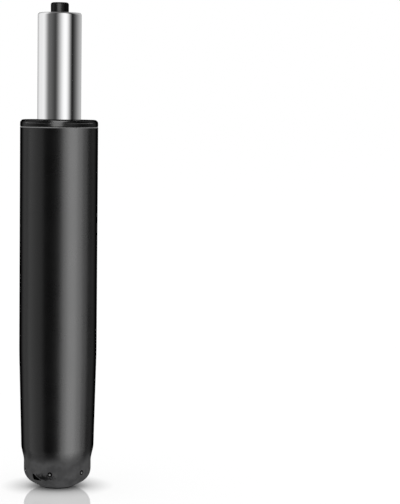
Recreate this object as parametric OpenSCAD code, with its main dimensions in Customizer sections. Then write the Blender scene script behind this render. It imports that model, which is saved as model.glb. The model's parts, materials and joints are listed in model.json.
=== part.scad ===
// Chair gas lift cylinder: a self-locking gas spring that turns and lifts in a tapered stand tube.
// Millimetres, +Z up, front towards -Y. It stands on the tube's rolled end, lowered as far as it goes.

/* [Stand tube] */
// Outer diameter of the straight tube
tube_d = 50; // [47:0.5:54]
// Wall thickness of the tube
tube_wall = 2; // [1.6:0.1:2.4]
// Height of the tube's top rim above the floor
tube_len = 233.6; // [225:0.2:250]
// Length of the taper that wedges into the chair's base
taper_len = 62; // [50:1:75]
// Half angle of the taper in degrees
taper_angle = 1.438; // [1.2:0.002:1.7]
// Radius that blends the taper into the straight tube
taper_blend = 400; // [100:50:800]
// Height of the step under the taper
neck_h = 7.8; // [6:0.2:9]
// Radial depth of that step
neck_step = 1.75; // [1.2:0.05:2.2]
// Radius that blends the step into the taper and into the collar
neck_blend = 12; // [4:1:12]
// Height of the straight collar
collar_h = 6.4; // [5:0.2:9]
// Outer radius of the knuckle rolled below the collar
knuckle_r = 9.5; // [8.5:0.5:10]
// Slope of the crown between the knuckle and the rim in degrees
crown_angle = 29; // [26:1:30]
// Outer diameter of the flat rim that the tube stands on
rim_d = 20.8; // [19.6:0.2:22]
// Diameter of the open mouth inside the rim
mouth_d = 18; // [17:0.2:18.6]
// Radius of the tube's top edge
tube_edge = 0.6; // [0.2:0.1:1.2]

/* [Stakes] */
// Number of stakes pressed in over the bearing seat
stake_count = 6; // [3:1:8]
// Radius of the round punch that presses a stake
stake_r = 2.5; // [2:0.1:2.6]
// Depth of a stake
stake_depth = 1; // [0.8:0.1:1.4]
// Radius of the pip that the punch's hollow tip leaves in a stake
pip_r = 0.9; // [0.7:0.1:1]
// Height of the stakes' middle above the seat plate
stake_lift = 1.6; // [1.4:0.1:2.2]
// Turn of the first stake from the front in degrees
stake_turn = -13; // [-20:0.5:0]
// Turn of the nick that the rolling tool leaves in the knuckle, from the front in degrees
nick_turn = -39; // [-50:0.5:-30]
// Height of the nick's middle above the floor
nick_z = 8.6; // [8:0.1:9]
// Width of the nick
nick_w = 6.5; // [4:0.5:7]
// Width of the nick along its top
nick_top = 1.8; // [1:0.1:3]
// Height of the nick
nick_h = 4.4; // [3:0.2:5]
// Depth of the nick
nick_depth = 1.3; // [0.8:0.1:1.5]

/* [Guide bush] */
// Height of the flange above the tube's rim
flange_h = 4.4; // [4:0.2:7]
// Radius of the flange's top edge
flange_round = 2.4; // [1:0.2:2.6]
// Length of the sleeve inside the tube
bush_len = 100; // [80:5:110]
// Wall of the sleeve around the pressure tube
bush_wall = 2.6; // [2:0.2:3.4]
// Length of the bearing land at each end of the bore
land_h = 22; // [15:1:30]
// Depth of the relief between the two lands
relief = 0.5; // [0.2:0.1:0.8]
// Number of ribs between the sleeve and the tube
rib_count = 12; // [6:1:16]
// Thickness of a rib
rib_w = 2.2; // [1.6:0.2:3]
// Height of the ring at each end of the ribs
ring_h = 5; // [4:0.5:8]

/* [Pressure tube] */
// Outer diameter of the pressure tube
spindle_d = 28; // [27:0.5:30]
// Wall thickness of the pressure tube
spindle_wall = 1.5; // [1.2:0.1:1.8]
// Length of its seat end above the flange
seat_len = 68; // [66:1:80]
// Radius of its top edge
top_round = 1.6; // [1:0.1:2.4]
// Radius of its bottom edge
foot_round = 2.4; // [1.4:0.2:2.8]
// Diameter of the hole in its rolled bottom lip
foot_hole_d = 16; // [14:0.5:18]
// Depth of the bead rolled in under the valve body
bead_depth = 0.7; // [0.4:0.1:0.8]
// Width of that bead
bead_w = 3; // [2.4:0.2:4]
// Radius at the bottom of that bead
bead_round = 1; // [0.6:0.1:1.4]
// Height of the bead's upper edge above the flange
bead_rise = 0.2; // [0.1:0.1:0.4]

/* [Inner cylinder and lower seal] */
// Gas gap between the pressure tube and the inner cylinder
gas_gap = 1.3; // [1:0.1:1.5]
// Wall thickness of the inner cylinder
liner_wall = 1; // [0.8:0.1:1.4]
// Length of the rod guide
guide_h = 10; // [8:1:12]
// Height of the rod seal
seal_h = 6; // [4:0.5:8]
// Depth of the groove between the rod seal's two lips
lip_depth = 1.2; // [0.6:0.1:1.6]
// Thickness of the washer over the rod seal
backing_h = 1.5; // [1:0.1:2]
// Thickness of the cylinder seat's flange
seat_h = 2.5; // [2:0.1:3.5]
// Length of the cylinder seat's spigot, which stops the piston at full height
stop_len = 9.35; // [6:0.05:16]
// Number of gas slots in the cylinder seat
slot_count = 4; // [3:1:6]
// Width of the gas slots
slot_w = 3; // [2:0.2:4]
// Depth of those slots in the flange
slot_depth = 1; // [0.6:0.1:1.4]

/* [Rod and piston] */
// Diameter of the piston rod
rod_d = 10; // [9:0.2:10.8]
// Radial step from the rod to its turned end in the bearing
journal_step = 1; // [0.6:0.1:1.3]
// Diameter of the rod's spigot in the piston
spigot_d = 6; // [5:0.2:7]
// Length of the piston
piston_len = 16; // [12:1:18]
// Width of the piston's seal groove
piston_groove = 3; // [2:0.2:4]
// Radial thickness of the piston seal
piston_seal_t = 1.7; // [1.2:0.1:2.2]
// Width across the flats of the piston nut
nut_af = 10; // [9:0.5:13]
// Height of the piston nut
nut_h = 5; // [4:0.5:6]

/* [Thrust bearing] */
// Outer diameter of the two races
race_d = 22; // [21:0.5:25]
// Thickness of a race
race_h = 2; // [1.6:0.1:2.6]
// Depth of the ball groove in a race
groove_depth = 0.5; // [0.3:0.1:0.7]
// Diameter of a ball
ball_d = 4; // [3.4:0.1:4.4]
// Number of balls
ball_count = 8; // [6:1:8]
// Thickness of the ball cage
cage_h = 1.6; // [1:0.1:1.8]
// Diameter of the load washer on the upper race
load_d = 24; // [20:1:28]
// Thickness of the load washer
load_h = 2; // [1.5:0.1:3]

/* [Bump stop] */
// Outer diameter of the rubber buffer
bump_d = 24; // [20:0.5:26]
// Height of the rubber buffer
bump_h = 14; // [11:0.5:18]
// Depth of the waist around the buffer
bump_waist = 1.4; // [0.6:0.1:2]

/* [Bearing seat and clip] */
// Height of the seat plate's underside above the floor
plate_z = 5; // [4.8:0.1:5.4]
// Thickness of the seat plate
plate_h = 4.6; // [4.2:0.1:5]
// Depth of the recess that centres the lower race
recess = 1; // [0.6:0.1:1.4]
// Thickness of the washer under the seat plate
washer_h = 1.2; // [0.8:0.1:1.4]
// Outer diameter of that washer
washer_d = 15; // [13:0.5:16]
// Thickness of the retaining clip
clip_h = 1; // [0.8:0.1:1.2]
// Outer diameter of the retaining clip
clip_d = 14; // [13:0.5:15.5]
// Width of the clip's spring band
clip_band = 1.8; // [1.4:0.1:2]
// Turn of the clip's side lugs from its middle lug in degrees
lug_turn = 105; // [95:1:115]
// Depth of the clip's groove in the rod
clip_groove = 1; // [0.6:0.1:1.2]
// Length of the rod below the clip
rod_tip = 1.2; // [1:0.1:1.3]

/* [Valve] */
// Diameter of the valve pin
pin_d = 4; // [3.4:0.1:4.6]
// Diameter of the pin's waist
waist_d = 2.8; // [2:0.1:3]
// Height of the pin's head
head_h = 2.2; // [1.6:0.1:3]
// Section diameter of the seal rings
ring_d = 1.8; // [1.4:0.1:2]
// Length of the valve body's spigot in the inner cylinder
valve_spigot = 12; // [11:0.5:15]
// Length of the valve body's ported neck
port_len = 6; // [5:0.5:8]
// Diameter of the gas ports
port_d = 2; // [1.4:0.1:2.4]
// Number of gas ports
port_count = 4; // [3:1:6]
// Height of the ported spacer above and below the ports
spacer_half = 5; // [4:0.5:6]

/* [Release button] */
// Diameter of the button
button_d = 11.5; // [9:0.5:13]
// Height of the button above the pressure tube
button_h = 6.5; // [5:0.5:9]
// Radius of the button's top edge
button_round = 1.4; // [0.6:0.1:2]
// Width of the collar that keeps the button in
button_collar = 1.4; // [1:0.1:1.8]
// Height of that collar
button_collar_h = 4; // [3:0.5:5]
// Diameter of the button's stem
stem_d = 8; // [7:0.2:9]
// Length of the button's stem
stem_len = 12; // [8:1:14]
// Length of the guide around the button and its stem
button_room = 32; // [28:1:38]
// How far the button is pressed
press = 3; // [2:0.1:3.4]

/* [Fits] */
// Radial gap of a fixed fit
fit_gap = 0.05; // [0.02:0.01:0.08]
// Radial gap of a running fit
run_gap = 0.08; // [0.03:0.01:0.1]
// Gap left at a stop
stop_gap = 0.3; // [0.1:0.05:0.4]
// Small edge break
edge = 0.4; // [0.2:0.05:0.5]

/* [Hidden] */
$fn = 96;
bend_steps = 6;
front = -90;

// stand tube, from the floor up
tube_r = tube_d / 2;
bore_r = tube_r - tube_wall;
taper_end_r = tube_r - taper_len * tan(taper_angle);
collar_r = taper_end_r - neck_step;
collar_in = collar_r - tube_wall;
rim_r = rim_d / 2;
mouth_r = mouth_d / 2;
crown_z = (collar_r - rim_r) * tan(crown_angle);
crown_t = tube_wall / cos(crown_angle);
roll_h = crown_z + knuckle_r / tan(45 + crown_angle / 2);
neck_z = roll_h + collar_h;
taper_z = neck_z + neck_h;
straight_z = taper_z + taper_len;

// rod end, bearing and buffer
rod_r = rod_d / 2;
journal_r = rod_r - journal_step;
plate_top = plate_z + plate_h;
plate_r = collar_in - fit_gap;
plate_bevel = stake_depth + edge;
stake_z = plate_top + stake_lift;
washer_z = plate_z - stop_gap - washer_h;
clip_z = washer_z - clip_h;
clip_in = journal_r - clip_groove;
rod_z = clip_z - rod_tip;
race_r = race_d / 2;
ball_r = ball_d / 2;
pitch_r = (journal_r + race_r) / 2;
lower_z = plate_top - recess;
ball_z = lower_z + race_h - groove_depth + ball_r + fit_gap;
upper_z = ball_z + ball_r + fit_gap - groove_depth;
load_z = upper_z + race_h;
shoulder_z = load_z + load_h;

// pressure tube and what closes its lower end
spindle_r = spindle_d / 2;
spindle_in = spindle_r - spindle_wall;
plug_r = spindle_in - fit_gap;
cap_z = tube_len + flange_h;
bush_r = spindle_r + run_gap;
bush_z = tube_len - bush_len;
spindle_z = shoulder_z + bump_h + stop_gap;
spindle_top = cap_z + seat_len;
bead_top = cap_z + bead_rise;
bead_z = bead_top - bead_w / 2;
foot_hole_r = foot_hole_d / 2;
guide_z = spindle_z + spindle_wall;
seal_z = guide_z + guide_h;
backing_z = seal_z + seal_h;
seat_z = backing_z + backing_h;
liner_z = seat_z + seat_h;
liner_r = spindle_in - gas_gap;
liner_in = liner_r - liner_wall;
seat_top = liner_z + stop_len;

// valve, button and piston, set from the top down
pin_r = pin_d / 2;
ring_r = ring_d / 2;
valve_z = bead_top + fit_gap;
liner_top = valve_z - port_len;
valve_bottom = liner_top - valve_spigot;
valve_top = spindle_top - spindle_wall - button_room;
valve_mid = (valve_z + valve_top) / 2;
port_z = valve_z - port_len / 2;
pocket_r = pin_r + ring_d + 2 * fit_gap;
spacer_z = port_z - spacer_half;
pocket_z = spacer_z - ring_d - fit_gap;
nose_z = port_z + spacer_half + ring_d + fit_gap;
head_z = valve_bottom - stop_gap - head_h;
waist_z = spacer_z + edge;
waist_len = 2 * press;
button_r = button_d / 2;
button_hole_r = button_r + stop_gap;
collar_top = spindle_top - spindle_wall - stop_gap;
collar_z = collar_top - button_collar_h;
stem_r = stem_d / 2;
stem_z = collar_z - stem_len;
travel = press + stop_gap;
spigot_r = spigot_d / 2;
nut_top = head_z - press - 2 * stop_gap;
piston_top = nut_top - nut_h;
piston_z = piston_top - piston_len;
piston_r = liner_in - run_gap;

function unit(v) = v / norm(v);
function turn(a, b) = a.x * b.y - a.y * b.x;

function reverse(list) = [for (i = [len(list) - 1 : -1 : 0]) list[i]];

// Points along the shallow arc that rounds a corner, for bends of a few degrees.
function bend(before, at, after, r) = let (
    u = unit(before - at),
    v = unit(after - at),
    half = acos(u * v) / 2,
    reach = r / tan(half),
    centre = at + unit(u + v) * r / sin(half),
    start = at + u * reach - centre,
    way = sign(turn(at - before, after - at)) * acos(-u * v))
    [for (i = [0 : bend_steps]) let (a = way * i / bend_steps)
        [centre.x + start.x * cos(a) - start.y * sin(a), centre.y + start.x * sin(a) + start.y * cos(a), 0]];

// The run of the tube's wall from the collar through the neck and the taper to the straight tube.
function shank(r_collar, r_taper, r_tube) = concat(
    bend([r_collar, roll_h], [r_collar, neck_z], [r_taper, taper_z], neck_blend),
    bend([r_collar, neck_z], [r_taper, taper_z], [r_tube, straight_z], neck_blend),
    bend([r_taper, taper_z], [r_tube, straight_z], [r_tube, tube_len], taper_blend));

// A flat outline with true round corners: each point is [radius, height, corner radius], counter-clockwise.
module outline(points) {
    count = len(points);
    flat = [for (p = points) [p.x, p.y]];
    difference() {
        union() {
            polygon(flat);
            for (i = [0 : count - 1])
                corner(flat[(i + count - 1) % count], flat[i], flat[(i + 1) % count], points[i].z, -1);
        }
        for (i = [0 : count - 1])
            corner(flat[(i + count - 1) % count], flat[i], flat[(i + 1) % count], points[i].z, 1);
    }
}

// What lies between a corner and its arc, drawn a little past the corner, for corners that bend to one side.
module corner(before, at, after, r, side) {
    if (r > 0 && turn(at - before, after - at) * side > 0) {
        u = unit(before - at);
        v = unit(after - at);
        inward = unit(u + v);
        half = acos(u * v) / 2;
        reach = r / tan(half);
        past = r / sin(half) - r;
        centre = at + inward * (r + past);
        difference() {
            polygon([at - inward * past, at + u * reach, centre, at + v * reach]);
            translate(centre)
                circle(r);
        }
    }
}

// A turned piece with that outline.
module turned(points) {
    rotate_extrude()
        outline(points);
}

// A turned ring of square section.
module washer(r_in, r_out, z, h, round) {
    turned([[r_in, z, round], [r_out, z, round], [r_out, z + h, round], [r_in, z + h, round]]);
}

// A seal ring of round section, centred at a height.
module seal_ring(r, z) {
    rotate_extrude()
        translate([r, z])
            circle(ring_r);
}

// Copies set evenly around the axis.
module around(count, first = 0) {
    for (i = [0 : count - 1])
        rotate([0, 0, first + i * 360 / count])
            children();
}

// Balls at the stakes' places, with their outermost points at a radius.
module stakes(ball, r) {
    around(stake_count, front + stake_turn)
        translate([r - ball, 0, stake_z])
            sphere(ball);
}

// The nick, wider below, square to the knuckle's surface.
module nick() {
    rotate([0, 0, front + nick_turn])
        translate([collar_r - knuckle_r, 0, roll_h])
            rotate([0, 90 + asin((roll_h - nick_z) / knuckle_r), 0])
                translate([0, 0, knuckle_r - nick_depth])
                    linear_extrude(tube_wall)
                        translate([-nick_h / 2, -nick_w / 2])
                            polygon([[0, 0], [nick_h, 0], [nick_h, nick_w], [0, nick_top]]);
}

// Each stake bulges the wall inwards, with its pip standing in the middle.
module stand_tube() {
    punch_out = collar_r + 2 * stake_r - stake_depth;
    color([0.02, 0.02, 0.02]) {
        difference() {
            union() {
                turned(concat(
                    [[mouth_r, 0, 0], [rim_r, 0, 0], [collar_r, crown_z, knuckle_r]],
                    shank(collar_r, taper_end_r, tube_r),
                    [[tube_r, tube_len, tube_edge], [bore_r, tube_len, 0]],
                    reverse(shank(collar_in, taper_end_r - tube_wall, bore_r)),
                    [[collar_in, (collar_in - rim_r) * tan(crown_angle) + crown_t, knuckle_r - tube_wall],
                        [mouth_r, (mouth_r - rim_r) * tan(crown_angle) + crown_t, 0]]));
                intersection() {
                    stakes(stake_r + tube_wall, punch_out + tube_wall);
                    cylinder(r = collar_r - tube_wall / 2, h = taper_z);
                }
            }
            stakes(stake_r, punch_out);
            nick();
        }
        stakes(pip_r, collar_r);
    }
}

module guide_bush() {
    ribs_r = bore_r - fit_gap;
    sleeve_r = bush_r + bush_wall;
    color([0.03, 0.03, 0.03]) {
        turned([
            [bush_r, bush_z, edge],
            [ribs_r, bush_z, edge],
            [ribs_r, bush_z + ring_h, 0],
            [sleeve_r, bush_z + ring_h, edge],
            [sleeve_r, tube_len - ring_h, edge],
            [ribs_r, tube_len - ring_h, 0],
            [ribs_r, tube_len, 0],
            [tube_r, tube_len, edge],
            [tube_r, cap_z, flange_round],
            [bush_r, cap_z, edge],
            [bush_r, cap_z - land_h, 0],
            [bush_r + relief, cap_z - land_h - relief, 0],
            [bush_r + relief, bush_z + land_h + relief, 0],
            [bush_r, bush_z + land_h, 0]]);
        intersection() {
            around(rib_count)
                translate([sleeve_r - edge, -rib_w / 2, bush_z + ring_h])
                    cube([bush_wall + ribs_r - sleeve_r, rib_w, bush_len - 2 * ring_h]);
            cylinder(r = ribs_r, h = tube_len);
        }
    }
}

// The plate's rim is turned to the knuckle that it lies on, and bevelled above to clear the stakes.
module bearing_seat() {
    knuckle_x = collar_r - knuckle_r;
    color([0.55, 0.56, 0.58])
        rotate_extrude()
            difference() {
                intersection() {
                    translate([journal_r + run_gap, plate_z])
                        square([plate_r - journal_r - run_gap, plate_h]);
                    union() {
                        translate([0, plate_z])
                            square([knuckle_x, plate_h]);
                        translate([knuckle_x, roll_h])
                            circle(knuckle_r - tube_wall - fit_gap);
                    }
                    polygon([
                        [0, plate_z],
                        [plate_r + plate_h - plate_bevel, plate_z],
                        [plate_r - plate_bevel, plate_top],
                        [0, plate_top]]);
                }
                translate([0, lower_z])
                    square([race_r + fit_gap, recess + edge]);
            }
}

// A race with its ball groove.
module race(r_in, z) {
    rotate_extrude()
        difference() {
            translate([r_in, z])
                square([race_r - r_in, race_h]);
            translate([pitch_r, ball_z])
                circle(ball_r + fit_gap);
        }
}

module lower_race() {
    color([0.72, 0.73, 0.75])
        race(journal_r + stop_gap, lower_z);
}

module ball_cage() {
    color([0.75, 0.6, 0.3])
        difference() {
            washer(pitch_r - ball_r - edge, pitch_r + ball_r + edge, ball_z - cage_h / 2, cage_h, 0);
            around(ball_count)
                translate([pitch_r, 0, ball_z])
                    cylinder(r = ball_r + 2 * fit_gap, h = 2 * cage_h, center = true);
        }
}

module bearing_balls() {
    color([0.8, 0.8, 0.82])
        around(ball_count)
            translate([pitch_r, 0, ball_z])
                sphere(ball_r);
}

module upper_race() {
    color([0.72, 0.73, 0.75])
        race(journal_r + fit_gap, upper_z);
}

module load_washer() {
    color([0.6, 0.61, 0.63])
        washer(journal_r + fit_gap, load_d / 2, load_z, load_h, edge);
}

module bump_stop() {
    bump_r = bump_d / 2;
    waist_r = bump_h / 4;
    bump_top = shoulder_z + bump_h;
    color([0.06, 0.06, 0.06])
        rotate_extrude()
            difference() {
                outline([
                    [rod_r + stop_gap, shoulder_z, edge],
                    [bump_r, shoulder_z, edge],
                    [bump_r, bump_top, bump_waist],
                    [rod_r + stop_gap, bump_top, edge]]);
                translate([bump_r + waist_r - bump_waist, shoulder_z + bump_h / 2])
                    circle(waist_r);
            }
}

module clip_washer() {
    color([0.6, 0.61, 0.63])
        washer(journal_r + fit_gap, washer_d / 2, washer_z, washer_h, edge / 2);
}

module retaining_clip() {
    clip_r = clip_d / 2;
    mouth_w = 2 * clip_in;
    color([0.3, 0.3, 0.32])
        translate([0, 0, clip_z])
            linear_extrude(clip_h)
                difference() {
                    union() {
                        difference() {
                            circle(clip_r);
                            circle(clip_r - clip_band);
                        }
                        for (lug = [-lug_turn, 0, lug_turn])
                            rotate([0, 0, lug])
                                translate([-clip_band / 2, 0])
                                    square([clip_band, clip_r - clip_band / 2]);
                    }
                    circle(clip_in + fit_gap);
                    translate([-mouth_w / 2, -clip_r - edge])
                        square([mouth_w, clip_r - clip_in / 2]);
                }
}

module piston_rod() {
    color([0.75, 0.76, 0.78])
        turned([
            [0, rod_z, 0],
            [journal_r, rod_z, edge],
            [journal_r, clip_z - fit_gap, 0],
            [clip_in, clip_z - fit_gap, 0],
            [clip_in, washer_z, 0],
            [journal_r, washer_z, 0],
            [journal_r, shoulder_z, 0],
            [rod_r, shoulder_z, edge],
            [rod_r, piston_z, 0],
            [spigot_r, piston_z, 0],
            [spigot_r, nut_top, edge],
            [0, nut_top, 0]]);
}

module piston() {
    middle = piston_z + piston_len / 2;
    groove_r = piston_r - piston_seal_t;
    color([0.7, 0.71, 0.73])
        turned([
            [spigot_r + fit_gap, piston_z, 0],
            [piston_r, piston_z, edge],
            [piston_r, middle - piston_groove / 2, 0],
            [groove_r, middle - piston_groove / 2, 0],
            [groove_r, middle + piston_groove / 2, 0],
            [piston_r, middle + piston_groove / 2, 0],
            [piston_r, piston_top, edge],
            [spigot_r + fit_gap, piston_top, 0]]);
}

module piston_seal() {
    color([0.08, 0.08, 0.08])
        washer(piston_r - piston_seal_t + fit_gap, liner_in - fit_gap / 2,
            piston_z + piston_len / 2 - piston_groove / 2 + fit_gap, piston_groove - 2 * fit_gap, edge);
}

module piston_nut() {
    color([0.6, 0.61, 0.63])
        translate([0, 0, piston_top])
            linear_extrude(nut_h)
                difference() {
                    circle(nut_af / sqrt(3), $fn = 6);
                    circle(spigot_r + fit_gap);
                }
}

// Both ends are rolled in, and a rolled bead carries the valve body.
module pressure_tube() {
    color([0.85, 0.85, 0.87])
        turned([
            [foot_hole_r, spindle_z, edge],
            [spindle_r, spindle_z, foot_round],
            [spindle_r, bead_top - bead_w, 0],
            [spindle_r - bead_depth, bead_z, bead_round],
            [spindle_r, bead_top, 0],
            [spindle_r, spindle_top, top_round],
            [button_hole_r, spindle_top, edge],
            [button_hole_r, spindle_top - spindle_wall, 0],
            [spindle_in, spindle_top - spindle_wall, 0],
            [spindle_in, bead_top, 0],
            [spindle_in - bead_depth, bead_z, bead_round],
            [spindle_in, bead_top - bead_w, 0],
            [spindle_in, guide_z, 0],
            [foot_hole_r, guide_z, 0]]);
}

// The guide's nose fills the hole in the rolled lip.
module rod_guide() {
    color([0.72, 0.55, 0.3])
        turned([
            [rod_r + run_gap, spindle_z + edge, edge],
            [foot_hole_r - stop_gap, spindle_z + edge, edge],
            [foot_hole_r - stop_gap, guide_z, 0],
            [plug_r, guide_z, 0],
            [plug_r, seal_z, edge],
            [rod_r + run_gap, seal_z, 0]]);
}

module rod_seal() {
    color([0.05, 0.05, 0.05])
        turned([
            [rod_r + run_gap, seal_z, 0],
            [plug_r, seal_z, 0],
            [plug_r, backing_z, 0],
            [rod_r + run_gap, backing_z, 0],
            [rod_r + run_gap + lip_depth, seal_z + seal_h / 2, edge]]);
}

module seal_washer() {
    color([0.6, 0.61, 0.63])
        washer(rod_r + stop_gap, plug_r, backing_z, backing_h, edge / 2);
}

// The spigot centres the inner cylinder and stops the piston at full height.
module cylinder_seat() {
    inside_r = rod_r + 2 * stop_gap;
    color([0.25, 0.26, 0.28])
        difference() {
            turned([
                [inside_r, seat_z, 0],
                [plug_r, seat_z, 0],
                [plug_r, liner_z, 0],
                [liner_in - fit_gap, liner_z, 0],
                [liner_in - fit_gap, seat_top, edge],
                [inside_r, seat_top, edge]]);
            around(slot_count)
                translate([0, -slot_w / 2, liner_z - slot_depth])
                    cube([spindle_r, slot_w, seat_top]);
        }
}

module inner_cylinder() {
    color([0.78, 0.79, 0.8])
        washer(liner_in, liner_r, liner_z, liner_top - liner_z, 0);
}

// The rings sit in open grooves, and the pocket takes the pin's rings and the spacer from above.
module valve_body() {
    spigot_out = liner_in - fit_gap;
    half = ring_r + fit_gap;
    low_z = liner_top - valve_spigot / 2;
    color([0.66, 0.67, 0.7])
        difference() {
            turned([
                [pin_r + run_gap, valve_bottom, 0],
                [spigot_out, valve_bottom, edge],
                [spigot_out, low_z - half, 0],
                [spigot_out - 2 * half, low_z - half, 0],
                [spigot_out - 2 * half, low_z + half, 0],
                [spigot_out, low_z + half, 0],
                [spigot_out, liner_top, 0],
                [liner_r, liner_top, 0],
                [liner_r, valve_z, 0],
                [plug_r, valve_z, 0],
                [plug_r, valve_mid - half, 0],
                [plug_r - 2 * half, valve_mid - half, 0],
                [plug_r - 2 * half, valve_mid + half, 0],
                [plug_r, valve_mid + half, 0],
                [plug_r, valve_top, 0],
                [pocket_r, valve_top, 0],
                [pocket_r, pocket_z, 0],
                [pin_r + run_gap, pocket_z, 0]]);
            around(port_count)
                translate([0, 0, port_z])
                    rotate([0, 90, 0])
                        cylinder(d = port_d, h = spindle_r);
        }
}

module tube_seal_ring() {
    color([0.05, 0.05, 0.05])
        seal_ring(plug_r - ring_r, valve_mid);
}

module liner_seal_ring() {
    color([0.05, 0.05, 0.05])
        seal_ring(liner_in - fit_gap - ring_r, liner_top - valve_spigot / 2);
}

module pin_seals() {
    color([0.05, 0.05, 0.05]) {
        seal_ring(pin_r + fit_gap + ring_r, pocket_z + ring_r);
        seal_ring(pin_r + fit_gap + ring_r, nose_z - ring_r);
    }
}

module seal_spacer() {
    color([0.72, 0.55, 0.3])
        difference() {
            washer(pin_r + stop_gap, pocket_r - fit_gap, spacer_z, 2 * spacer_half, 0);
            around(port_count)
                translate([0, 0, port_z])
                    rotate([0, 90, 0])
                        cylinder(d = port_d, h = spindle_r);
        }
}

// Pressing the pin brings its waist into the lower ring, which lets the gas past.
module valve_pin() {
    slope = pin_r - waist_d / 2;
    color([0.75, 0.76, 0.78])
        turned([
            [0, head_z, 0],
            [pin_r + edge + run_gap, head_z, edge],
            [pin_r + edge + run_gap, head_z + head_h, 0],
            [pin_r, head_z + head_h, 0],
            [pin_r, waist_z, 0],
            [waist_d / 2, waist_z + slope, 0],
            [waist_d / 2, waist_z + waist_len - slope, 0],
            [pin_r, waist_z + waist_len, 0],
            [pin_r, stem_z, 0],
            [0, stem_z, 0]]);
}

module button_guide() {
    color([0.1, 0.1, 0.11])
        turned([
            [pin_r + run_gap, nose_z, 0],
            [pocket_r - fit_gap, nose_z, 0],
            [pocket_r - fit_gap, valve_top, 0],
            [plug_r, valve_top, 0],
            [plug_r, spindle_top - spindle_wall, 0],
            [button_r + button_collar + run_gap, spindle_top - spindle_wall, 0],
            [button_r + button_collar + run_gap, collar_z - travel, 0],
            [stem_r + run_gap, collar_z - travel, 0],
            [stem_r + run_gap, stem_z - travel, 0],
            [pin_r + run_gap, stem_z - travel, 0]]);
}

module release_button() {
    color([0.03, 0.03, 0.03])
        turned([
            [0, stem_z, 0],
            [stem_r, stem_z, edge],
            [stem_r, collar_z, 0],
            [button_r + button_collar, collar_z, edge],
            [button_r + button_collar, collar_top, edge],
            [button_r, collar_top, 0],
            [button_r, spindle_top + button_h, button_round],
            [0, spindle_top + button_h, 0]]);
}

stand_tube();
guide_bush();
bearing_seat();
lower_race();
ball_cage();
bearing_balls();
upper_race();
load_washer();
bump_stop();
clip_washer();
retaining_clip();
piston_rod();
piston();
piston_seal();
piston_nut();
pressure_tube();
rod_guide();
rod_seal();
seal_washer();
cylinder_seat();
inner_cylinder();
valve_body();
tube_seal_ring();
liner_seal_ring();
pin_seals();
seal_spacer();
valve_pin();
button_guide();
release_button();
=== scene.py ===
"""Chair gas lift cylinder: a black stand column with a chromed gas spring, dressed around its solids."""
import json
import math

import bmesh
import bpy
from mathutils import Euler, Matrix, Vector


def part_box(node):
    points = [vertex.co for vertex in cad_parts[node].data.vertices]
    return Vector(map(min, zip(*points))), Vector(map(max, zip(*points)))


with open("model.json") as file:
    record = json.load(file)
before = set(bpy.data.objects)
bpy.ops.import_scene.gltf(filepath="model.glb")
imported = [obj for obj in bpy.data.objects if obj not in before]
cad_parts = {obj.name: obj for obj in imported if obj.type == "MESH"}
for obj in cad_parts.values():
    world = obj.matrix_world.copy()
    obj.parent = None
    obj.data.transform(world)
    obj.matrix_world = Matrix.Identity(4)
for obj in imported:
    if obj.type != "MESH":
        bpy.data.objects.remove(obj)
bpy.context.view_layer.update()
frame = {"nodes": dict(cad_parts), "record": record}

scene = bpy.context.scene
scene.view_settings.view_transform = "Standard"

MM = 0.001
WHITE = (1, 1, 1, 1)

# The camera: its place, its turns to the right, down and about its own axis in degrees, and its lens in mm
CAMERA_AT = (0, -1.15, 0.2512)
CAMERA_TURN = 4.555
CAMERA_DIP = 4.852
CAMERA_ROLL = 0.706
CAMERA_LENS = 127.34
CAMERA_SENSOR = 36
SIGHT_START = 0.05
SIGHT_END = 60

# Tall soft panels around the column, as gloss sees them.
# Each has the bearings where it starts, is full, fades and ends, in degrees from the front to the right,
# and its level.
PANELS = [
    (-200, -120, -97, -54, 0.88),
    (-110, -75, -70, 2, 0.16),
    (-24, 30, 32, 71, 1.08),
    (66, 148, 160, 190, 0.5),
]
PANEL_GAP = 0.012

# The room above and below the panels: its levels, and the heights in degrees where they start and are full
CEILING = 0.15
CEILING_START = 50
CEILING_FULL = 66
GROUND = 0.5
GROUND_START = -26
GROUND_FULL = -34
# How much of the panels the ground shows
GROUND_SHEEN = 0.45

# The light that falls on every piece from all around, and the white behind the column
EVEN_LIGHT = 1.0
BACKDROP = 1.0

# Soft lamps that only the gloss of some pieces shows.
# Each has its name, its bearing, rise, width and height in degrees, its level, and those pieces.
STRIPS = [
    ("right narrow strip", 41, -3, 30, 84, 6, ["stand_tube"]),
    ("right wide strip", 43, -8, 62, 94, 6, ["stand_tube"]),
    ("right broad strip", 49, -12, 88, 102, 3.3, ["stand_tube"]),
    ("left strip", -73, -3, 54, 84, 1.7, ["stand_tube"]),
    ("back strip", 180, -3, 34, 84, 9, ["stand_tube"]),
    ("back plastic strip", 180, 15, 24, 80, 9, ["guide_bush", "release_button"]),
    ("front strip", -6, 15, 30, 80, 11, ["guide_bush"]),
    ("button strip", -8, 15, 44, 80, 7, ["release_button"]),
    ("top strip", -3, 80, 22, 50, 12, ["guide_bush"]),
    ("left band", -70, 15, 90, 8, 4.2, ["guide_bush"]),
    ("right band", 70, 15, 90, 8, 5, ["guide_bush"]),
]
# The point that the strips face, and how far from it they stand
STRIP_AIM = Vector((0, 0, 0.15))
STRIP_AWAY = 1.3

# The floor: half its width, how far it lies below the rim, its grey, its glow to the eye and on the column
FLOOR_HALF = 12
FLOOR_DROP = 0.2 * MM
FLOOR_GREY = (0.32, 0.32, 0.32, 1)
FLOOR_GLOW = 0.7
FLOOR_BOUNCE = 0.84
SHADOW_REACH = 18 * MM
SHADOW_SAMPLES = 16
# How far in front of the middle the shadow starts to be filled and is filled, and how much it loses there
FILL_START = -2 * MM
FILL_FULL = -34 * MM
FILL_SHARE = 0.55
MIRROR_IOR = 1.85
MIRROR_GAIN = 1.12

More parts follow.
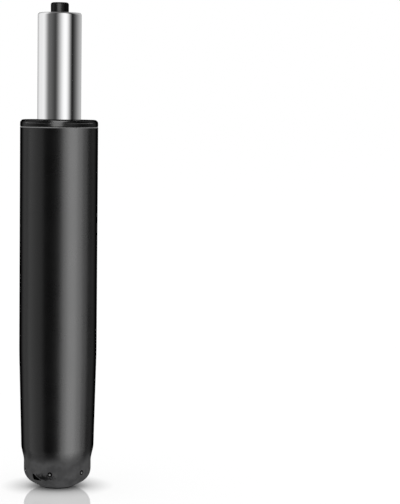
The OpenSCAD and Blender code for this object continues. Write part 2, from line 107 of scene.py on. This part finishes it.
# The rolled end of the stand tube: its turned outline, and the heights between which its marks end
COLLAR_R = 21.69 * MM
KNUCKLE_R = 9.5 * MM
ROLL_TOP = 11.85 * MM
MARKS_END = 16 * MM
MARKS_FULL = 15 * MM
# The stakes around it, the first one's turn in degrees, and the pip in each
STAKES = 6
STAKE_TURN = -13
STAKE_Z = 11.2 * MM
PIP_R = 0.9 * MM
# How far below the outline a hollow starts to take painted shade and is fully shaded, and a pip is lost
# and stands clear
HOLLOW_SHADE_START = 0.15 * MM
HOLLOW_SHADE_FULL = 0.5 * MM
PIP_LOST = 0.4 * MM
PIP_CLEAR = 0.1 * MM
# The painted shadow beside the nick, a dark patch with ragged edges: its middle, half its width and
# height, the share of those where it starts and is full, how much it hides the paint, and how ragged it is
NICK_SHADOW_TURN = -25
NICK_SHADOW_Z = 9.2 * MM
NICK_SHADOW_W = 8.6 * MM
NICK_SHADOW_H = 2.4 * MM
NICK_SHADOW_START = 1.1
NICK_SHADOW_FULL = 0.2
NICK_SHADOW_COVER = 0.92
NICK_SHADOW_RAGGED = 2.2
NOISE_MIDDLE = 0.5

# The paint: the heights where it starts to turn dull and is dull, there in a grey that is a painted
# reflection of the pale floor, and the rubbed edge of the tube's top
DULL_AND_REFLECTION_START = 27 * MM
DULL_AND_REFLECTION_FULL = 17 * MM
DULL_SHARE = 0.96
TUBE_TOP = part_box("stand_tube")[1][2]
RIM_START = TUBE_TOP - 0.7 * MM
RIM_FULL = TUBE_TOP - 0.5 * MM
RIM_WAVE = 0.2 * MM
# How far the paint has turned from the eye where its gloss starts to fade and is gone
PAINT_TURNED = 0.44
PAINT_GONE = 0.72

# The colours of the finishes
PAINT_BLACK = (0.0015, 0.0015, 0.0016)
PAINT_FADED = (0.0025, 0.0025, 0.0025)
# The dull end's grey, a painted reflection of the pale floor, mottled between these two
DULL_REFLECTION_DARK = (0.056, 0.056, 0.057)
DULL_REFLECTION_PALE = (0.077, 0.077, 0.078)
# The painted shadow beside the nick
NICK_SHADOW_BLACK = (0.004, 0.004, 0.004)
RUBBED_GREY = (0.22, 0.22, 0.22)
# Painted shade in the hollows of the stakes and the nick
HOLLOW_SHADE_BLACK = (0.001, 0.001, 0.001)
CHROME = (0.9, 0.9, 0.905, 1)
STEEL = (0.55, 0.56, 0.58)
ALUMINIUM = (0.66, 0.67, 0.7)
BRASS = (0.7, 0.52, 0.26)
OILED_DARK = (0.06, 0.06, 0.065)
OILED_PALE = (0.16, 0.155, 0.15)
RUBBER_BLACK = (0.014, 0.014, 0.014)
RUBBER_BLOOM = (0.035, 0.034, 0.033)
STAINED = 0.7
PAINT_IOR = 1.25
PLASTIC_IOR = 1.27


def link(obj):
    scene.collection.objects.link(obj)
    return obj


def camera():
    """The camera at the photograph's place: a long lens a little above the bush, tipped down slightly."""
    data = bpy.data.cameras.new("camera")
    data.sensor_width = CAMERA_SENSOR
    data.lens = CAMERA_LENS
    data.clip_start = SIGHT_START
    data.clip_end = SIGHT_END
    eye = link(bpy.data.objects.new("camera", data))
    aim = Euler((math.radians(90 - CAMERA_DIP), 0, math.radians(-CAMERA_TURN))).to_matrix().to_4x4()
    roll = Matrix.Rotation(math.radians(CAMERA_ROLL), 4, "Z")
    eye.matrix_world = Matrix.Translation(CAMERA_AT) @ aim @ roll
    scene.camera = eye


class Nodes:
    """Adds nodes to a tree and joins them. A value is a plain one or the socket of another node."""

    def __init__(self, tree):
        self.tree = tree
        tree.nodes.clear()

    def add(self, kind, inputs=None, **settings):
        node = self.tree.nodes.new(kind)
        for key, value in settings.items():
            setattr(node, key, value)
        for key, value in (inputs or {}).items():
            self.put(node.inputs[key], value)
        return node

    def put(self, socket, value):
        if isinstance(value, bpy.types.NodeSocket):
            self.tree.links.new(value, socket)
        else:
            socket.default_value = value

    def math(self, operation, a, b=0.0):
        return self.add("ShaderNodeMath", {0: a, 1: b}, operation=operation).outputs[0]

    def plus(self, a, b):
        return self.math("ADD", a, b)

    def minus(self, a, b):
        return self.math("SUBTRACT", a, b)

    def times(self, a, b):
        return self.math("MULTIPLY", a, b)

    def larger(self, a, b):
        return self.math("MAXIMUM", a, b)

    def smooth(self, value, start, end, low=0.0, high=1.0):
        """A soft step from low at start to high at end."""
        if start > end:
            start, end, low, high = end, start, high, low
        inputs = {"Value": value, "From Min": start, "From Max": end, "To Min": low, "To Max": high}
        return self.add("ShaderNodeMapRange", inputs, interpolation_type="SMOOTHSTEP").outputs[0]

    def span(self, value, start, full, fade, end, level):
        """A soft stretch that is full in its middle."""
        return self.times(self.smooth(value, start, full, high=level), self.smooth(value, end, fade))

    def blend(self, a, b, share):
        return self.add("ShaderNodeMix", {"Factor": share, 2: a, 3: b}).outputs[0]

    def tint(self, a, b, share):
        a, b = (c if isinstance(c, bpy.types.NodeSocket) else (*c, 1) for c in (a, b))
        return self.add("ShaderNodeMix", {"Factor": share, 6: a, 7: b}, data_type="RGBA").outputs[2]

    def noise(self, place, scale, detail):
        inputs = {"Vector": place, "Scale": scale, "Detail": detail}
        return self.add("ShaderNodeTexNoise", inputs).outputs[0]

    def stretch(self, place, scale):
        return self.add("ShaderNodeMapping", {"Vector": place, "Scale": scale}).outputs[0]

    def split(self, vector):
        return self.add("ShaderNodeSeparateXYZ", {"Vector": vector}).outputs

    def join(self, x, y, z=0.0):
        return self.add("ShaderNodeCombineXYZ", {0: x, 1: y, 2: z}).outputs[0]

    def length(self, x, y):
        vector = self.join(x, y)
        return self.add("ShaderNodeVectorMath", {0: vector}, operation="LENGTH").outputs["Value"]

    def bearing(self, x, y):
        """The turn of a point from the front to the right, in radians."""
        return self.math("ARCTAN2", x, self.times(y, -1))

    def bump(self, height, strength, distance):
        inputs = {"Height": height, "Strength": strength, "Distance": distance}
        return self.add("ShaderNodeBump", inputs).outputs[0]

    def body(self, inputs):
        return self.add("ShaderNodeBsdfPrincipled", inputs).outputs[0]

    def matt(self, colour, normal):
        return self.add("ShaderNodeBsdfDiffuse", {"Color": colour, "Normal": normal}).outputs[0]

    def mix(self, a, b, share):
        return self.add("ShaderNodeMixShader", {"Fac": share, 1: a, 2: b}).outputs[0]

    def edge_on(self, start, end):
        """How far a satin surface has turned from the eye, where its gloss fades."""
        facing = self.add("ShaderNodeLayerWeight", {"Blend": 0.5}).outputs["Facing"]
        return self.smooth(facing, start, end)


def studio():
    """Even soft light on everything, and for gloss a room of tall soft panels around the column."""
    scene.world = bpy.data.worlds.new("studio")
    scene.world.use_nodes = True
    # the world isn't sampled as a lamp, because gloss sees another room than the rest
    scene.world.cycles.sampling_method = "NONE"
    n = Nodes(scene.world.node_tree)
    x, y, z = n.split(n.add("ShaderNodeTexCoord").outputs["Generated"])
    bearing = n.math("DEGREES", n.bearing(x, y))
    height = n.math("DEGREES", n.math("ARCSINE", z))
    level = PANEL_GAP
    for panel in PANELS:
        level = n.plus(n.span(bearing, *panel), level)
    level = n.blend(level, CEILING, n.smooth(height, CEILING_START, CEILING_FULL))
    ground = n.plus(n.times(level, GROUND_SHEEN), GROUND)
    level = n.blend(level, ground, n.smooth(height, GROUND_START, GROUND_FULL))
    ray = n.add("ShaderNodeLightPath").outputs
    seen = n.blend(EVEN_LIGHT, level, ray["Is Glossy Ray"])
    straight = n.larger(ray["Is Camera Ray"], ray["Is Singular Ray"])
    seen = n.blend(seen, BACKDROP, straight)
    light = n.add("ShaderNodeBackground", {"Color": WHITE, "Strength": seen})
    n.add("ShaderNodeOutputWorld", {"Surface": light.outputs[0]})


def strip(name, bearing, rise, width, height, level, pieces):
    """One soft lamp, which lights the gloss of the named pieces."""
    data = bpy.data.lights.new(name, "AREA")
    data.shape = "RECTANGLE"
    data.size = 2 * STRIP_AWAY * math.tan(math.radians(width / 2))
    data.size_y = 2 * STRIP_AWAY * math.tan(math.radians(height / 2))
    data.energy = level * math.pi * data.size * data.size_y
    lamp = link(bpy.data.objects.new(name, data))
    lamp.visible_diffuse = False
    turn = math.radians(bearing)
    up = math.radians(rise)
    way = Vector((math.sin(turn) * math.cos(up), -math.cos(turn) * math.cos(up), math.sin(up)))
    facing = (-way).to_track_quat("-Z", "Y").to_matrix().to_4x4()
    lamp.matrix_world = Matrix.Translation(STRIP_AIM + way * STRIP_AWAY) @ facing
    group = bpy.data.collections.new(name)
    for piece in pieces:
        group.objects.link(frame["nodes"][piece])
    lamp.light_linking.receiver_collection = group


def pale_floor():
    """Pale grey with the column's soft shadow and a faint mirror image of its foot, clear from below."""
    material = bpy.data.materials.new("pale floor")
    material.use_nodes = True
    n = Nodes(material.node_tree)
    corner = n.add("ShaderNodeAmbientOcclusion", {"Distance": SHADOW_REACH}, samples=SHADOW_SAMPLES)
    depth = n.split(n.add("ShaderNodeTexCoord").outputs["Object"])[1]
    filled = n.smooth(depth, FILL_START, FILL_FULL, high=FILL_SHARE)
    shade = n.blend(corner.outputs["AO"], 1.0, filled)
    ray = n.add("ShaderNodeLightPath").outputs
    seen = n.times(n.times(shade, ray["Is Camera Ray"]), FLOOR_GLOW)
    glow = n.plus(seen, n.times(ray["Is Diffuse Ray"], FLOOR_BOUNCE))
    pale = n.add("ShaderNodeBsdfDiffuse", {"Color": FLOOR_GREY}).outputs[0]
    lift = n.add("ShaderNodeEmission", {"Color": WHITE, "Strength": glow}).outputs[0]
    both = n.add("ShaderNodeAddShader", {0: pale, 1: lift}).outputs[0]
    mirror = n.add("ShaderNodeBsdfGlossy", {"Color": shade, "Roughness": 0.0}).outputs[0]
    share = n.add("ShaderNodeFresnel", {"IOR": MIRROR_IOR}).outputs[0]
    shine = n.mix(both, mirror, n.times(share, MIRROR_GAIN))
    below = n.add("ShaderNodeNewGeometry").outputs["Backfacing"]
    clear = n.add("ShaderNodeBsdfTransparent").outputs[0]
    n.add("ShaderNodeOutputMaterial", {"Surface": n.mix(shine, clear, below)})
    return material


def floor():
    """A wide flat floor just below the rim that the column stands on."""
    bm = bmesh.new()
    bmesh.ops.create_grid(bm, x_segments=1, y_segments=1, size=FLOOR_HALF)
    bmesh.ops.translate(bm, verts=bm.verts, vec=(0, 0, -FLOOR_DROP))
    mesh = bpy.data.meshes.new("floor")
    bm.to_mesh(mesh)
    bm.free()
    mesh.materials.append(pale_floor())
    obj = link(bpy.data.objects.new("floor", mesh))
    obj.visible_glossy = False
    obj.visible_shadow = False


def roll_depth(n, x, y, z):
    """How far a point lies below the turned surface of the rolled end, as in the stakes and the nick."""
    below = n.larger(n.minus(ROLL_TOP, z), 0.0)
    arc = n.math("SQRT", n.larger(n.minus(KNUCKLE_R ** 2, n.times(below, below)), 0.0))
    return n.minus(n.plus(arc, COLLAR_R - KNUCKLE_R), n.length(x, y))


def stake_pips(n, turn, z, sunk):
    """The round tops of the pips in the middle of the stakes."""
    bearing = n.minus(turn, math.radians(STAKE_TURN))
    step = 2 * math.pi / STAKES
    nearest = n.times(n.math("ROUND", n.math("DIVIDE", bearing, step)), step)
    aside = n.times(n.minus(bearing, nearest), COLLAR_R)
    apart = n.length(aside, n.minus(z, STAKE_Z))
    return n.times(n.smooth(apart, PIP_R, 0.5 * PIP_R), n.smooth(sunk, PIP_LOST, PIP_CLEAR))


def painted_nick_shadow(n, at, turn, z):
    """A painted shadow beside the nick: a dark patch with ragged edges."""
    along = n.times(n.minus(turn, math.radians(NICK_SHADOW_TURN)), COLLAR_R / NICK_SHADOW_W)
    across = n.times(n.minus(z, NICK_SHADOW_Z), 1 / NICK_SHADOW_H)
    ragged = n.times(n.minus(n.noise(at, scale=650, detail=4), NOISE_MIDDLE), NICK_SHADOW_RAGGED)
    away = n.plus(n.length(along, across), ragged)
    return n.smooth(away, NICK_SHADOW_START, NICK_SHADOW_FULL, high=NICK_SHADOW_COVER)


def stoved_paint(n, at):
    """Satin black paint with fine orange peel, dull on the rolled end in a grey that is a painted
    reflection of the floor, rubbed grey on the rim and pips, with painted shade in the hollows and a
    painted shadow beside the nick.
    """
    x, y, z = n.split(at)
    turn = n.bearing(x, y)
    peel = n.noise(at, scale=700, detail=3)
    cloud = n.noise(at, scale=40, detail=4)
    mottle = n.smooth(n.noise(at, scale=190, detail=3), 0.35, 0.65)
    dull_and_reflection = n.smooth(z, DULL_AND_REFLECTION_START, DULL_AND_REFLECTION_FULL)
    rim = n.smooth(n.plus(z, n.times(cloud, RIM_WAVE)), RIM_START, RIM_FULL)
    sunk = roll_depth(n, x, y, z)
    # painted shade: the hollows of the stakes and the nick turn black, on the rolled end only
    hollow_shade = n.times(n.smooth(sunk, HOLLOW_SHADE_START, HOLLOW_SHADE_FULL), n.smooth(z, MARKS_END, MARKS_FULL))
    gloss = n.body({
        "Base Color": n.tint(PAINT_BLACK, PAINT_FADED, cloud),
        "Roughness": n.smooth(cloud, 0.3, 0.7, low=0.26, high=0.3),
        "IOR": PAINT_IOR,
        "Normal": n.bump(peel, strength=0.05, distance=0.05 * MM),
    })
    # the dull end's mottled grey is a painted reflection of the pale floor
    tone = n.tint(PAINT_BLACK, n.tint(DULL_REFLECTION_DARK, DULL_REFLECTION_PALE, mottle), dull_and_reflection)
    # a painted shadow beside the nick
    tone = n.tint(tone, NICK_SHADOW_BLACK, painted_nick_shadow(n, at, turn, z))
    tone = n.tint(tone, RUBBED_GREY, n.larger(rim, stake_pips(n, turn, z, sunk)))
    # the painted shade in the hollows
    tone = n.tint(tone, HOLLOW_SHADE_BLACK, hollow_shade)
    flat = n.matt(tone, n.bump(peel, strength=0.2, distance=0.05 * MM))
    bare = n.larger(n.times(dull_and_reflection, DULL_SHARE), rim)
    return n.mix(gloss, flat, n.larger(bare, n.edge_on(PAINT_TURNED, PAINT_GONE)))


def hard_chrome(n, at):
    """Polished chrome with the faint rings of grinding and a few smudges."""
    rings = n.noise(n.stretch(at, (60, 60, 7000)), scale=1, detail=3)
    smudge = n.noise(at, scale=55, detail=4)
    ground = n.smooth(rings, 0.3, 0.7, low=0.05, high=0.075)
    return n.body({
        "Base Color": CHROME,
        "Metallic": 1.0,
        "Roughness": n.plus(ground, n.smooth(smudge, 0.45, 0.75, high=0.03)),
        "Normal": n.bump(rings, strength=0.02, distance=0.01 * MM),
    })


def moulded(black, rough, turned, gone):
    """Black plastic with the fine grain of its mould, whose gloss fades as it turns from the eye."""
    dark = (black, black, black)
    pale = (1.6 * black, 1.6 * black, 1.65 * black)

    def recipe(n, at):
        grain = n.noise(at, scale=2600, detail=2)
        flow = n.noise(n.stretch(at, (50, 50, 160)), scale=1, detail=3)
        colour = n.tint(dark, pale, flow)
        normal = n.bump(grain, strength=0.06, distance=0.03 * MM)
        gloss = n.body({
            "Base Color": colour,
            "Roughness": n.smooth(flow, 0.25, 0.75, low=rough - 0.04, high=rough + 0.05),
            "IOR": PLASTIC_IOR,
            "Normal": normal,
        })
        return n.mix(gloss, n.matt(colour, normal), n.edge_on(turned, gone))
    return recipe


def turned_metal(colour, rough):
    """Bare metal with the rings that a turning tool leaves, stained in patches."""
    stained = tuple(STAINED * c for c in colour)

    def recipe(n, at):
        x, y, z = n.split(at)
        rings = n.noise(n.join(n.length(x, y), z), scale=5000, detail=2)
        stain = n.noise(at, scale=180, detail=3)
        return n.body({
            "Base Color": n.tint(colour, stained, n.smooth(stain, 0.4, 0.75)),
            "Metallic": 1.0,
            "Roughness": n.smooth(rings, 0.3, 0.7, low=rough, high=rough + 0.16),
            "Normal": n.bump(rings, strength=0.08, distance=0.02 * MM),
        })
    return recipe


def oiled_steel(n, at):
    """Spring steel, blackened and oiled in patches."""
    film = n.noise(at, scale=320, detail=4)
    grain = n.noise(at, scale=4000, detail=2)
    return n.body({
        "Base Color": n.tint(OILED_DARK, OILED_PALE, n.smooth(film, 0.4, 0.7)),
        "Metallic": 1.0,
        "Roughness": n.smooth(film, 0.35, 0.65, low=0.22, high=0.5),
        "Normal": n.bump(grain, strength=0.1, distance=0.02 * MM),
    })


def dull_rubber(n, at):
    """Matt rubber with a dusty bloom."""
    bloom = n.noise(at, scale=140, detail=4)
    grain = n.noise(at, scale=3200, detail=2)
    return n.body({
        "Base Color": n.tint(RUBBER_BLACK, RUBBER_BLOOM, n.smooth(bloom, 0.4, 0.75)),
        "Roughness": n.smooth(bloom, 0.3, 0.7, low=0.62, high=0.85),
        "Normal": n.bump(grain, strength=0.15, distance=0.04 * MM),
    })


FINISHES = {
    "black_paint": stoved_paint,
    "chrome": hard_chrome,
    "black_plastic": moulded(black=0.0015, rough=0.19, turned=0.42, gone=0.72),
    "button_plastic": moulded(black=0.002, rough=0.3, turned=0.25, gone=0.6),
    "steel": turned_metal(STEEL, rough=0.22),
    "dark_steel": oiled_steel,
    "aluminium": turned_metal(ALUMINIUM, rough=0.26),
    "brass": turned_metal(BRASS, rough=0.24),
    "rubber": dull_rubber,
}


def finish(slot):
    """The material of a slot, read at each point of the piece."""
    material = bpy.data.materials.new(slot.replace("_", " "))
    material.use_nodes = True
    n = Nodes(material.node_tree)
    surface = FINISHES[slot](n, n.add("ShaderNodeTexCoord").outputs["Object"])
    n.add("ShaderNodeOutputMaterial", {"Surface": surface})
    return material


camera()
studio()
floor()
for row in STRIPS:
    strip(*row)

materials = {slot: finish(slot) for slot in FINISHES}
for row in frame["record"]["subparts"]:
    mesh = frame["nodes"][row["node"]].data
    mesh.materials.clear()
    mesh.materials.append(materials[row["material_slot"]])
